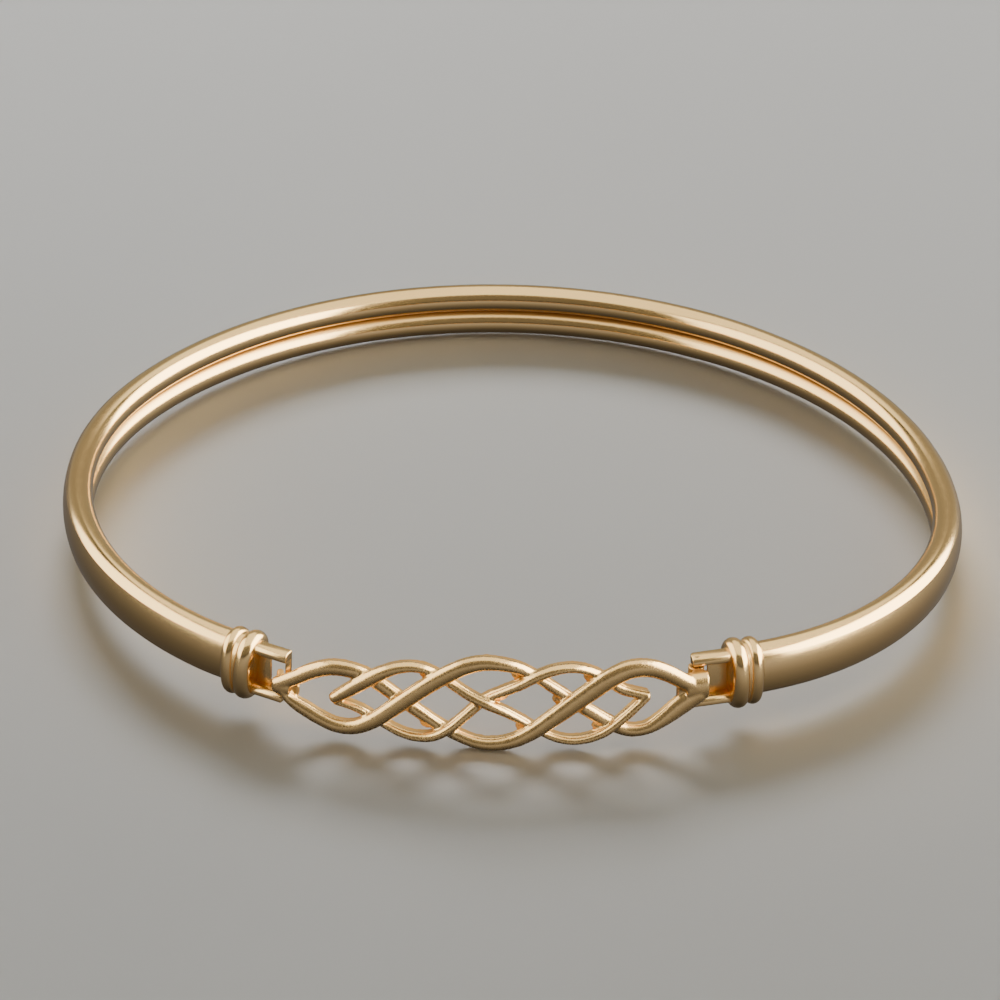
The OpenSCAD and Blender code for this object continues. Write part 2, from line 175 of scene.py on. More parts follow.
class Wire:
    """One output of a node, so that shader sums read as Python sums."""

    def __init__(self, nodes, socket):
        self.nodes = nodes
        self.socket = socket

    def _sum(self, operation, *values):
        return self.nodes.add("ShaderNodeMath", {"operation": operation}, *values)

    def __add__(self, other):
        return self._sum("ADD", self, other)

    def __radd__(self, other):
        return self._sum("ADD", other, self)

    def __sub__(self, other):
        return self._sum("SUBTRACT", self, other)

    def __rsub__(self, other):
        return self._sum("SUBTRACT", other, self)

    def __mul__(self, other):
        return self._sum("MULTIPLY", self, other)

    def __rmul__(self, other):
        return self._sum("MULTIPLY", other, self)


class Nodes:
    """Adds nodes to one material, or to the world."""

    def __init__(self, owner):
        owner.use_nodes = True
        self.owner = owner
        self.tree = owner.node_tree
        self.tree.nodes.clear()

    def add(self, kind, settings=None, *values, out=0, **named):
        """One node: its settings, what feeds its sockets by number or by name, and which output is read."""
        node = self.tree.nodes.new(kind)
        for key, value in (settings or {}).items():
            if key == "stops":
                ramp = node.color_ramp
                while len(ramp.elements) < len(value):
                    ramp.elements.new(0.5)
                for element, (position, colour) in zip(ramp.elements, value):
                    element.position = position
                    element.color = colour
            else:
                setattr(node, key, value)
        for index, value in enumerate(values):
            self.feed(node.inputs[index], value)
        for key, value in named.items():
            self.feed(node.inputs[key.replace("_", " ")], value)
        return Wire(self, node.outputs[out]) if node.outputs else node

    def feed(self, socket, value):
        if isinstance(value, Wire):
            self.tree.links.new(value.socket, socket)
        elif value is not None:
            socket.default_value = value

    def place(self, scale=1.0):
        """Object coordinates, scaled."""
        where = self.add("ShaderNodeTexCoord", {}, out=3)
        settings = {"vector_type": "TEXTURE"}
        return self.add("ShaderNodeMapping", settings, where, (0, 0, 0), (0, 0, 0), [1 / scale] * 3)

    def noise(self, where, scale, detail=3.0, rough=0.5):
        return self.add("ShaderNodeTexNoise", {}, Vector=where, Scale=scale, Detail=detail, Roughness=rough)

    def fit(self, value, low, high, new_low=0.0, new_high=1.0):
        """A value taken from one range to another, and held inside it."""
        return self.add("ShaderNodeMapRange", {"clamp": True}, value, low, high, new_low, new_high)

    def mix(self, factor, first, second):
        """Two colours mixed. They are the node's sockets 6 and 7, and the ones before are for other kinds."""
        others = [None] * 5
        return self.add("ShaderNodeMix", {"data_type": "RGBA"}, factor, *others, first, second, out=2)

    def bump(self, height, strength, distance, under=None):
        sockets = {"Strength": strength, "Distance": distance, "Height": height, "Normal": under}
        return self.add("ShaderNodeBump", {}, **sockets)

    def finish(self, colour, roughness, normal, metallic=1.0):
        shader = self.add(
            "ShaderNodeBsdfPrincipled",
            {},
            Base_Color=colour,
            Metallic=metallic,
            Roughness=roughness,
            Normal=normal,
        )
        self.add("ShaderNodeOutputMaterial", {}, shader)
        return self.owner


def occlusion_shade(n, reach, clear, deep):
    """Painted shade: how far a point's own piece hides the room from it (ambient occlusion), from 0 to 1."""
    settings = {"samples": 16, "only_local": True}
    seen = n.add("ShaderNodeAmbientOcclusion", settings, Distance=reach * MM, out=1)
    return n.fit(seen, clear, deep)


def polished_gold(name, roughness=0.16, deep=0.0, reach=2.4, corners="deep_gold"):
    """Polished gold: hair-fine scratches, a warmth that drifts, and painted shade that darkens and roughens
    its grooves.
    """
    n = Nodes(bpy.data.materials.new(name))
    colours = sizes("bangle_finish")
    where = n.place(PER_METRE)
    # Painted shade: where the piece hides the room from itself, the colour turns towards the corners colour.
    groove = occlusion_shade(n, reach, clear=0.88, deep=0.35)
    drift = n.noise(where, 0.09, 2)
    scratch_place = n.add("ShaderNodeMapping", {}, where, (0, 0, 0), (0.3, 0.2, 0.1), (1.0, 1.0, 14.0))
    hairs = n.noise(scratch_place, 1.3, 5, 0.7)
    grain = n.noise(where, 9.0, 4, 0.6)
    warm = n.fit(drift, 0.3, 0.7)
    colour = n.mix(groove * 0.9 + warm * 0.12 + deep, colours.gold[:], getattr(colours, corners)[:])
    rough = n.fit(grain, 0.3, 0.7, roughness - 0.02, roughness + 0.05) + n.fit(hairs, 0.52, 0.7, 0, 0.05)
    fine = n.bump(grain, 0.03, 0.00002)
    normal = n.bump(hairs, 0.02, 0.00003, fine)
    return n.finish(colour, rough + groove * 0.35, normal)


def cast_gold(name):
    """Cast gold: polished on the strands' faces; amber and uneven down their sides and behind them, partly
    its unpolished skin and partly painted shade, and darkest as painted shade in the grooves.
    """
    n = Nodes(bpy.data.materials.new(name))
    colours = sizes("bangle_finish")
    where = n.place(PER_METRE)
    centre = (PATH.origin + Vector((0, PATH.sizes.panel_r, 0)) * MM) * PER_METRE
    flat = n.add("ShaderNodeMapping", {}, where, (-centre.x, -centre.y, 0), (0, 0, 0), (1, 1, 0))
    radius = n.add("ShaderNodeVectorMath", {"operation": "LENGTH"}, flat, out=1)
    # Deep in the weave, behind the strands' widest line: partly the unpolished cast skin, partly painted
    # shade.
    low = n.fit(radius - PATH.sizes.panel_r, 0.35, -0.05)
    lumps = n.noise(where, 1.6, 4, 0.6)
    grain = n.noise(where, 7.0, 4, 0.6)
    # Painted shade where the piece hides the room from itself, in crossings and under strands.
    groove = occlusion_shade(n, reach=1.5, clear=0.8, deep=0.36)
    patina_and_shade = (low * 0.55 + groove * 0.9) * n.fit(lumps, 0.25, 0.65, 0.75, 1.1)
    amber = n.mix(n.fit(patina_and_shade, -0.12, 0.6), colours.gold[:], colours.amber[:])
    colour = n.mix(n.fit(patina_and_shade, 0.65, 1.1), amber, colours.deep_gold[:])
    rough = n.fit(grain, 0.3, 0.7, 0.22, 0.3) + n.fit(patina_and_shade, 0, 1) * 0.2
    soft = n.bump(lumps, 0.16, 0.00012)
    normal = n.bump(grain, 0.07, 0.00004, soft)
    return n.finish(colour, rough, normal)


class Walk:
    """The crest line, walked from the middle of the panel to the right and round the back."""

    def __init__(self, oval, fittings):
        self.sizes = oval
        self.fittings = fittings
        turn = math.radians(oval.panel_turn)
        self.hinge_heading = oval.panel_turn + oval.hinge_bend
        back = self.hinge_heading + oval.hinge_side_turn
        side = back + oval.back_turn
        shoulder = side + oval.catch_side_turn
        self.catch_heading = shoulder + oval.shoulder_turn
        self.hinge_point = oval.panel_r * Vector((math.sin(turn), 1 - math.cos(turn), 0))
        self.free_point = Vector((-self.hinge_point.x, self.hinge_point.y, 0))
        self.catch_point = self.free_point + oval.catch_out * outwards_of(self.catch_heading)
        start = self.hinge_point + fittings.hinge_l * heading_of(self.hinge_heading)
        end = self.catch_point - fittings.catch_l * heading_of(self.catch_heading)
        known = oval.hinge_side_r * self.way(self.hinge_heading, oval.hinge_side_turn)
        known += oval.shoulder_r * self.way(shoulder, oval.shoulder_turn)
        rest = end - start - known
        one = self.way(back, oval.back_turn)
        two = self.way(side, oval.catch_side_turn)
        area = one.x * two.y - one.y * two.x
        back_r = (rest.x * two.y - rest.y * two.x) / area
        side_r = (one.x * rest.y - one.y * rest.x) / area
        self.arcs = (
            (oval.hinge_side_r, self.hinge_heading, oval.hinge_side_turn),
            (back_r, back, oval.back_turn),
            (side_r, side, oval.catch_side_turn),
            (oval.shoulder_r, shoulder, oval.shoulder_turn),
        )
        self.start = start
        self.pin_in = fittings.hinge_in + fittings.depth / 2
        self.pin_point = self.at_hinge_stirrup() @ Vector((fittings.pin_along, self.pin_in, 0))
        self.origin = Vector((0, 0, 0))

    def way(self, heading, turn):
        """Where an arc of radius 1 ends, from where it starts."""
        return outwards_of(heading + turn) - outwards_of(heading)

    def ring_face(self, length):
        """From the panel's end to the front ring."""
        f = self.fittings
        return length + f.lap - f.rear_ring_w - f.front_ring_w

    def at_hinge(self):
        """The hinge collar's frame: +X towards the tube, +Y inwards."""
        return upright(self.hinge_point, self.hinge_heading)

    def at_hinge_stirrup(self):
        """The hinge stirrup's frame, turned a little against the collar's."""
        root = Matrix.Translation((self.ring_face(self.fittings.hinge_l), self.pin_in, 0))
        turn = Matrix.Rotation(-math.radians(self.fittings.turn), 4, "Z")
        return self.at_hinge() @ root @ turn @ root.inverted()

    def at_catch(self):
        """The catch collar's frame: +X towards the tube, +Y inwards."""
        return upright(self.catch_point, self.catch_heading) @ Matrix.Diagonal((-1, 1, 1, 1))

    def at_hinge_lug(self):
        """The panel's right-hand end: +X away from the panel, +Y inwards."""
        return upright(self.hinge_point, self.sizes.panel_turn)

    def at_free_lug(self):
        """The panel's left-hand end: +X away from the panel, +Y inwards."""
        return upright(self.free_point, -self.sizes.panel_turn) @ Matrix.Diagonal((-1, 1, 1, 1))


def upright(point, heading):
    """A frame on the walk: +X ahead, +Y inwards."""
    return Matrix.Translation(point) @ Matrix.Rotation(math.radians(heading), 4, "Z")


PATH = None


def in_metres(bm):
    """Takes a shape from the walk's millimetres to its place in the frame."""
    bmesh.ops.transform(bm, matrix=Matrix.Translation(PATH.origin) @ Matrix.Scale(MM, 4), verts=bm.verts)


def solid(name, bm, material, body, nodes, sharp=35):
    """Puts a finished mesh into the scene, riding on its body."""
    bmesh.ops.remove_doubles(bm, verts=bm.verts, dist=1e-8)
    bmesh.ops.recalc_face_normals(bm, faces=bm.faces)
    mesh = bpy.data.meshes.new(name)
    for face in bm.faces:
        face.smooth = True
    bm.to_mesh(mesh)
    bm.free()
    mesh.set_sharp_from_angle(angle=math.radians(sharp))
    mesh.materials.append(material)
    thing = bpy.data.objects.new(name, mesh)
    bpy.context.scene.collection.objects.link(thing)
    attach(thing, body)
    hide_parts(*nodes)


# Points of an outline that lie closer than this are one point, and the two inner beads have a radius of a
# quarter of the band's height and this much more, so that they meet. Both are in millimetres.
JOIN_WITHIN = 0.004
BEAD_MORE = 0.02


class Section:
    """The band's outline, in a plane with +Y inwards and +Z up."""

    def __init__(self, band):
        self.bead_r = band.height / 4 + BEAD_MORE
        self.bead_up = band.height / 2 - self.bead_r
        self.bead_in = band.thickness - self.bead_r
        short = self.bead_in - self.bead_r
        crown_back = (self.bead_up**2 - short**2) / (2 * short)
        self.crown_in = self.bead_in + crown_back
        self.crown_r = crown_back + self.bead_in
        self.half_angle = math.atan2(self.bead_up, crown_back)
        self.crown_up = band.height * band.crown_part / 2

    def arc(self, bm, first, centre, angle, steps):
        """Spins one point about an axis along +X."""
        vert = bm.verts.new(first)
        bmesh.ops.spin(
            bm,
            geom=[vert],
            cent=centre,
            axis=(1, 0, 0),
            dvec=(0, 0, 0),
            angle=angle,
            steps=steps,
            use_duplicate=False,
        )

    def crown_x(self, up):
        """How far in the crown lies at this height."""
        return self.crown_in - math.sqrt(self.crown_r**2 - up**2)

    def bead_x(self, up):
        """How far in a bead's outer face lies at this height."""
        return self.bead_in - math.sqrt(self.bead_r**2 - (abs(up) - self.bead_up) ** 2)

    def tube_outline(self):
        """The closed outline, with a fine step where the crown meets each bead."""
        bm = bmesh.new()
        up = self.crown_up
        half = math.asin(up / self.crown_r)
        self.arc(bm, (0, self.crown_x(-up), -up), (0, self.crown_in, 0), -2 * half, 14)
        for side in (-1, 1):
            from_angle = math.atan2(up - self.bead_up, self.bead_in - self.bead_x(up))
            turn = math.pi - from_angle + math.asin(min(1, self.bead_up / self.bead_r))
            first = (0, self.bead_x(up), side * up)
            self.arc(bm, first, (0, self.bead_in, side * self.bead_up), -side * turn, 18)
            bm.edges.new((self.near(bm, first), self.near(bm, (0, self.crown_x(up), side * up))))
        bmesh.ops.remove_doubles(bm, verts=bm.verts, dist=JOIN_WITHIN)
        return bm

    def ring_outline(self, grow):
        """The closed outline grown all round, without the step."""
        bm = bmesh.new()
        r = self.crown_r + grow
        a = self.half_angle
        first = (0, self.crown_in - r * math.cos(a), -r * math.sin(a))
        self.arc(bm, first, (0, self.crown_in, 0), -2 * a, 16)
        for side in (-1, 1):
            turn = math.pi - a + math.asin(min(1, self.bead_up / (self.bead_r + grow)))
            first = (0, self.crown_in - r * math.cos(a), side * r * math.sin(a))
            self.arc(bm, first, (0, self.bead_in, side * self.bead_up), -side * turn, 20)
        bmesh.ops.remove_doubles(bm, verts=bm.verts, dist=JOIN_WITHIN)
        return bm

    def near(self, bm, point):
        return min(bm.verts, key=lambda v: (v.co - Vector(point)).length)


class MakeBandTube(bpy.types.Operator):
    """Spin the band's outline round the four arcs of the oval"""

    bl_idname = "bangle.band_tube"
    bl_label = "Band tube"

    def execute(self, context):
        band = sizes("bangle_band")
        bm = Section(band).tube_outline()
        bmesh.ops.transform(bm, matrix=upright(PATH.start, PATH.hinge_heading), verts=bm.verts)
        first = list(bm.edges)
        ends = bmesh.ops.edgenet_fill(bm, edges=first)["faces"]
        loop = first
        point = PATH.start
        for radius, heading, turn in PATH.arcs:
            centre = point - radius * outwards_of(heading)
            made = bmesh.ops.spin(
                bm,
                geom=loop,
                cent=centre,
                axis=UP,
                dvec=(0, 0, 0),
                angle=math.radians(turn),
                steps=max(4, round(turn / band.step)),
                use_duplicate=False,
            )
            loop = [part for part in made["geom_last"] if isinstance(part, bmesh.types.BMEdge)]
            point = centre + radius * outwards_of(heading + turn)
        ends += bmesh.ops.edgenet_fill(bm, edges=loop)["faces"]
        if len(ends) < 2:
            raise RuntimeError("the tube's ends didn't close")
        in_metres(bm)
        # The crease between the beads darkens towards deep gold as painted shade.
        gold = polished_gold("rolled_gold")
        solid("band_tube", bm, gold, "bangle", ["band"])
        return {"FINISHED"}


# How near a face a corner counts as being on it, in millimetres, and how many radians make an edge sharp.
NEAR = 1e-4
SHARP_TURN = 0.7
# How each collar sits on its tube: mm outwards, mm low, and the lean of its front ring in degrees.
HINGE_SEAT = (0.05, 0.1, 2)
CATCH_SEAT = (0.2, 0.15, 5)
# The rounding of a stirrup's arms, in millimetres: all edges, the brow, and the heel of the hinge arms. The
# wall and the bar have finer edges.
ARM_EDGE = 0.1
ARM_BROW = 0.45
HINGE_HEEL = 0.35
FINE_EDGE = 0.05
# Where the wall behind each stirrup starts, and how far it stays inside the arms, in millimetres.
HINGE_WALL = 0.9
CATCH_WALL = 1.05
WALL_IN = 0.2
# How far behind the front ring's face the core starts, how far the arms reach past that face, and how much
# two flat faces differ so that they don't fight.
CORE_FROM = 0.5
ARM_ROOT = 0.4
HAIR = 0.01


def outline_prism(grow, width):
    """The band's outline grown all round, and extruded along +X."""
    part = Section(sizes("bangle_band")).ring_outline(grow)
    face = bmesh.ops.edgenet_fill(part, edges=list(part.edges))["faces"]
    moved = bmesh.ops.extrude_face_region(part, geom=face)["geom"]
    verts = [v for v in moved if isinstance(v, bmesh.types.BMVert)]
    bmesh.ops.translate(part, vec=(width, 0, 0), verts=verts)
    bmesh.ops.recalc_face_normals(part, faces=part.faces)
    return part


def add_ring(bm, place, start, width, proud, lean):
    """A collar's rounded ring, leaning with its top towards the panel."""
    part = outline_prism(proud, width)
    rims = [e for e in part.edges if abs(e.verts[0].co.x - e.verts[1].co.x) < 1e-6]
    round_off(part, rims, width * 0.49, segments=6, clamp=False)
    tilt = Matrix.Rotation(-math.radians(lean), 4, "Y") @ Matrix.Translation((-width / 2, 0, 0))
    spot = place @ Matrix.Translation((start + width / 2, 0, 0)) @ tilt
    bmesh.ops.transform(part, matrix=spot, verts=part.verts)
    join(bm, part)


def round_off(part, edges, offset, segments, clamp=True):
    """Rounds some edges."""
    bmesh.ops.bevel(
        part,
        geom=edges,
        offset=offset,
        offset_type="OFFSET",
        segments=segments,
        profile=0.5,
        affect="EDGES",
        clamp_overlap=clamp,
        material=-1,
    )


def join(bm, part):
    """Adds one bmesh to another."""
    mesh = bpy.data.meshes.new("part")
    part.to_mesh(mesh)
    part.free()
    bm.from_mesh(mesh)
    bpy.data.meshes.remove(mesh)


def edges_where(part, test):
    """The edges whose two ends both pass a test of their place."""
    return [e for e in part.edges if all(test(v.co) for v in e.verts)]


def add_block(bm, place, low, high, offset, segments=3, brow=0.0, heel=0.0):
    """A block with rounded edges.

    Its brow, at the top in front, and its heel, behind the nose, can be rounder.
    """
    part = bmesh.new()
    bmesh.ops.create_cube(part, size=1)
    low = Vector(low)
    high = Vector(high)
    bmesh.ops.scale(part, vec=high - low, verts=part.verts)
    bmesh.ops.translate(part, vec=(low + high) / 2, verts=part.verts)
    if brow:
        ahead = edges_where(part, lambda co: co.y < low.y + NEAR and co.z > high.z - NEAR)
        round_off(part, ahead, brow, segments=10)
    if heel:
        behind = edges_where(part, lambda co: co.x < low.x + NEAR and co.y > high.y - NEAR)
        round_off(part, behind, heel, segments=8)
    round_off(part, [e for e in part.edges if e.calc_face_angle(0) > SHARP_TURN], offset, segments)
    bmesh.ops.transform(part, matrix=place, verts=part.verts)
    join(bm, part)


def add_collar(bm, place, length, out, down, lean):
    """Two rings and the core between them. A collar sits on its tube a little outwards and low."""
    f = sizes("bangle_fittings")
    front = PATH.ring_face(length)
    rear = front + f.front_ring_w
    spot = place @ Matrix.Translation((0, -out, -down))
    add_ring(bm, spot, front, f.front_ring_w, f.front_proud, lean)
    add_ring(bm, spot, rear, f.rear_ring_w, f.rear_proud, 0)
    core = outline_prism(f.core_proud, f.front_ring_w)
    bmesh.ops.transform(core, matrix=spot @ Matrix.Translation((front + CORE_FROM, 0, 0)), verts=core.verts)
    join(bm, core)


def add_stirrup(bm, place, length, inset, wall_from, nose, low_nose, heel):
    """Two arms, and the wall that closes them behind."""
    f = sizes("bangle_fittings")
    reach = PATH.ring_face(length) + ARM_ROOT
    top = f.stirrup_h / 2
    back = inset + f.depth
    for low, tip in ((top - f.arm_h, nose), (-top, low_nose)):
        far = (reach, back, low + f.arm_h)
        add_block(bm, place, (-tip, inset, low), far, ARM_EDGE, brow=ARM_BROW, heel=heel)
    far = (reach, back - HAIR, top - WALL_IN)
    add_block(bm, place, (wall_from, back - f.wall, WALL_IN - top), far, FINE_EDGE)


class MakeFittings(bpy.types.Operator):
    """Make the two collars with their stirrups, and the catch bar"""

    bl_idname = "bangle.fittings"
    bl_label = "End fittings"

    def execute(self, context):
        f = sizes("bangle_fittings")
        # The fittings' grooves and corners turn amber as painted shade.
        gold = polished_gold("fitting_gold", roughness=0.19, deep=0.03, reach=1.0, corners="amber")
        bm = bmesh.new()
        place = PATH.at_hinge_stirrup()
        nose = f.hinge_nose
        add_collar(bm, PATH.at_hinge(), f.hinge_l, *HINGE_SEAT)
        add_stirrup(bm, place, f.hinge_l, f.hinge_in, HINGE_WALL, nose, nose, HINGE_HEEL)
        in_metres(bm)
        solid("hinge_fitting", bm, gold, "bangle", ["band"], sharp=40)
        bm = bmesh.new()
        place = PATH.at_catch()
        add_collar(bm, place, f.catch_l, *CATCH_SEAT)
        add_stirrup(bm, place, f.catch_l, f.catch_in, CATCH_WALL, f.catch_nose, f.low_nose, 0)
        top = f.stirrup_h / 2 - WALL_IN
        bar_end = (f.bar_w - f.catch_nose, f.bar_in + f.bar_depth - HAIR, top)
        add_block(bm, place, (2 * HAIR - f.catch_nose, f.bar_in, -top), bar_end, FINE_EDGE)
        in_metres(bm)
        solid("catch_fitting", bm, gold, "bangle", ["band"], sharp=40)
        return {"FINISHED"}


# Where each strand runs: along the panel from its middle, up, level, and the strand's width, in millimetres.
# Level 1 lies over the other strands, and -1 lies under them.
UPPER_LEFT = (
    (-15.2, 0.18, 0, 1.13), (-13.9, 0.88, 0, 1.21), (-12.6, 1.67, 0.1, 1.24), (-11.3, 2.17, 0.3, 1.25),
    (-10, 2.15, 0.2, 1.22), (-8.6, 1.54, -0.8, 1.18), (-7.3, 0.65, -0.9, 1.12), (-6, -0.3, -1, 1.07),
    (-4.7, -1.23, -0.8, 1.02), (-3.4, -2.12, -0.7, 0.98), (-2, -2.86, -0.5, 0.97),
    (-0.7, -3.21, 0.4, 1), (0.6, -3.21, 0.8, 1.06), (1.9, -2.84, 1, 1.16), (3.2, -2.08, 1, 1.27),
    (4.6, -0.97, 1, 1.39), (5.9, 0.07, 1, 1.48), (7.2, 1.1, 1, 1.53), (8.5, 2.01, 1, 1.53),
    (9.8, 2.52, 0.7, 1.48), (11.2, 2.44, 0.4, 1.4), (12.5, 1.83, 0.1, 1.31), (13.8, 0.94, 0, 1.24),
    (15.1, 0.2, 0, 1.2),
)
LOWER_LEFT = (
    (-14.8, -0.12, 0, 0.58), (-14.32, -0.74, 0, 0.84), (-13.7, -1.22, 0, 1.04),
    (-13, -1.62, 0, 1.1), (-12.1, -2.1, 0.1, 1.12),
    (-10.8, -2.55, 0.3, 1.13), (-9.5, -2.44, 0.7, 1.2), (-8.2, -1.74, 1, 1.28), (-6.9, -0.67, 1, 1.34),
    (-5.7, 0.38, 1, 1.36), (-4.4, 1.45, 1, 1.36), (-3.1, 2.39, 1, 1.33), (-1.8, 3.13, 1, 1.27),
    (-0.5, 3.43, 0.8, 1.17), (0.8, 3.29, 0.5, 1.04), (2.1, 2.83, -0.1, 0.91), (3.3, 2, -0.8, 0.85),
    (4.6, 0.99, -0.9, 0.89), (5.9, -0.07, -1, 1), (7.2, -1.06, -0.8, 1.09), (8.5, -1.99, -0.7, 1.09),
    (9.8, -2.65, -0.5, 1.02), (11.1, -2.56, 0, 1.01), (12.3, -1.88, 0.1, 1.28), (13.6, -0.92, 0, 1.58),
    (14.9, -0.12, 0, 1.42),
)
TIP = (
    (-11, -0.26, 0.2, 0.88), (-9.8, 0.66, 0.6, 1.15), (-8.6, 1.6, 1, 1.17), (-7.4, 2.36, 0.9, 1.03),
    (-6.2, 2.78, 0.5, 0.86), (-5, 2.73, -0.2, 0.77), (-3.8, 2.17, -0.9, 0.75), (-2.6, 1.34, -0.8, 0.78),
    (-1.4, 0.64, 0.2, 0.81), (-0.2, 0.09, 0.9, 0.82), (1, -0.55, 0.5, 0.77), (2.2, -1.39, -0.4, 0.69),
    (3.4, -2.29, -1, 0.66), (4.6, -2.93, -0.6, 0.66), (5.8, -3.14, 0, 0.66), (7, -2.93, 0.6, 0.69),
    (8.2, -2.35, 1, 0.74), (9.5, -1.25, 1, 0.74), (11.1, 0.24, 0.4, 0.68),
)
TUCKED = (
    (-10.9, -0.62, -0.5, 0.56), (-10, -0.82, -0.5, 0.58), (-9, -1.2, -0.5, 0.63),
    (-7.7, -2.06, -1, 0.63), (-6.5, -2.64, -0.5, 0.66), (-5.3, -2.91, 0.1, 0.72),
    (-4, -2.74, 0.7, 0.79), (-2.8, -2.01, 0.8, 0.82), (-1.6, -0.9, 0.1, 0.82), (-0.4, 0.15, -0.9, 0.81),
    (0.9, 0.97, -0.1, 0.81), (2.1, 1.68, 0.8, 0.82), (3.3, 2.4, 1, 0.81), (4.5, 2.84, 0.8, 0.76),
    (5.8, 2.88, 0.2, 0.69), (7, 2.45, -0.4, 0.71), (8.2, 1.64, -1, 0.79), (9.4, 0.69, -0.7, 0.86),
    (11.15, 0.24, 0.3, 0.68),
)
# Webs that the casting left low in some crossings: along the panel, up, half their length and half their
# height, in millimetres.
WEBS = (
    (-4.6, 2.22, 0.45, 0.4), (-4.3, -1.86, 0.65, 0.46), (0.6, 0.6, 0.75, 0.5), (1.85, 2.3, 0.42, 0.42),
    (2.35, -1.95, 0.55, 0.46), (4.85, 0.22, 0.5, 0.45), (6.95, 2, 0.42, 0.45), (7.8, -2.15, 0.6, 0.4),
)
# The rounded fronts of the two lugs.
HINGE_LUG = ((13.9, 0.38, 0, 1.9), (15.5, 0.36, 0, 1.96))
FREE_LUG = ((-15.2, 0.08, 0, 1.3), (-14.2, 0.02, 0, 1.36))
# All of them in order, with the lengths of their rounded ends.
STRANDS = (
    (UPPER_LEFT, 0.3, 0.2), (LOWER_LEFT, 0.3, 0.2), (TIP, 0.35, 0.1), (TUCKED, 0.2, 0.1),
    (HINGE_LUG, 0, 0), (FREE_LUG, 0.42, 0),
)
# The feet that join each lug to the strands: lowest and highest corner in the lug's frame, and the rounding.
FREE_FOOT = ((-1.45, -0.15, -1.25), (-0.65, 0.2, -0.45), 0.12)
HINGE_FOOT = ((-1.8, -0.4, -0.6), (-0.7, 0.2, 0.4), 0.15)
# How far each lug reaches back over the strands, and how much smaller the free one's block is than its front.
HINGE_LUG_L = 1.1
FREE_LUG_L = 0.6
FREE_LUG_IN = 0.1
# The neck between the hinge lug and the knuckle: half its width, and how far it stops short of the pin.
NECK_HALF = 0.45
NECK_SHORT = 0.4
# A strand's section: its sides, and the width of its back against its widest line.
STRAND_SIDES = 32
STRAND_FOOT = 0.72
# Sections from one row of a strand to the next, and degrees between two sections of its rounded end.
STEPS_A_ROW = 4
CAP_STEP = 22
# The back thins out from this far along the panel, over this length, in millimetres.
THIN_FROM = 14.1
THIN_OVER = 1.4
# The level of a web and half its depth.
WEB_LEVEL = -0.9
WEB_DEPTH = 0.34


def along(rows, t):
    """A smooth curve through the rows, at row number t."""
    last = len(rows) - 1
    i = min(int(t), last - 1)
    a, b, c, d = (Vector(rows[k]) for k in (max(i - 1, 0), i, i + 1, min(i + 2, last)))
    f = t - i
    return 0.5 * (2 * b + (c - a) * f + (2 * a - 5 * b + 4 * c - d) * f**2 + (3 * b - a - 3 * c + d) * f**3)


def station(knot, rows, t):
    """The frame of a strand at row number t: +X across it, +Y out from the wrist, +Z along it."""
    here = along(rows, t)
    last = len(rows) - 1
    way = along(rows, min(t + 0.05, last)) - along(rows, max(t - 0.05, 0))
    run = math.hypot(way[0], way[1])
    angle = here[0] / PATH.sizes.panel_r
    tangent = Vector((math.cos(angle), math.sin(angle), 0))
    out = Vector((math.sin(angle), -math.cos(angle), 0))
    level = PATH.sizes.panel_r + knot.out + knot.weave * here[2]
    up = here[1] - knot.drop + here[0] * math.tan(math.radians(knot.tilt))
    side = (UP * way[0] - tangent * way[1]) * here[3] / 2 / run
    ahead = (tangent * way[0] + UP * way[1]) / run
    place = Matrix.Identity(4)
    for column, axis in enumerate((side, out, ahead)):
        place.col[column].xyz = axis
    place.col[3].xyz = Vector((0, PATH.sizes.panel_r, up)) + level * out
    return place


def add_strand(bm, knot, rows, first_cap, last_cap):
    """One strand, whose section is extruded from station to station. A cap rounds an end, by its length."""
    part = bmesh.new()
    bmesh.ops.create_circle(part, cap_ends=True, segments=STRAND_SIDES, radius=1)
    front = [v for v in part.verts if v.co.y > -1e-5]
    back = [v for v in part.verts if v.co.y < -1e-5]
    for vert in back:
        vert.co.xy /= max(abs(vert.co.x), abs(vert.co.y))
    bmesh.ops.scale(part, vec=(1, knot.crown, 1), verts=front)
    bmesh.ops.scale(part, vec=(STRAND_FOOT, knot.root, 1), verts=back)
    steps = (len(rows) - 1) * STEPS_A_ROW
    places = [station(knot, rows, (len(rows) - 1) * i / steps) for i in range(steps + 1)]
    caps = []
    for place, reach in ((places[0], -first_cap), (places[-1], last_cap)):
        turns = [math.radians(CAP_STEP * k) for k in range(1, 5)] if reach else []
        ahead = [Matrix.Translation((0, 0, math.sin(a) * reach)) for a in turns]
        caps.append([place @ step @ narrowed(math.cos(a)) for step, a in zip(ahead, turns)])
    places = caps[0][::-1] + places + caps[1]
    loop = list(part.edges)
    bmesh.ops.transform(part, matrix=places[0], verts=part.verts)
    for before, now in zip(places, places[1:]):
        made = bmesh.ops.extrude_edge_only(part, edges=loop)["geom"]
        verts = {g for g in made if isinstance(g, bmesh.types.BMVert)}
        bmesh.ops.transform(part, matrix=now @ before.inverted(), verts=list(verts))
        loop = [g for g in made if isinstance(g, bmesh.types.BMEdge) and verts.issuperset(g.verts)]
    bmesh.ops.edgenet_fill(part, edges=loop)
    shave_back(part, knot)
    join(bm, part)


def shave_back(part, knot):
    """Keeps the weave's back flat, and thins it out towards the fittings."""
    r = PATH.sizes.panel_r
    for vert in part.verts:
        spoke = vert.co.xy - Vector((0, r))
        x = r * math.atan2(spoke.x, -spoke.y)
        share = min(1, max(0, (THIN_FROM - abs(x)) / THIN_OVER))
        least = r - knot.thin_back - (knot.back - knot.thin_back) * share
        if spoke.length < least:
            vert.co.xy = Vector((0, r)) + spoke.normalized() * least


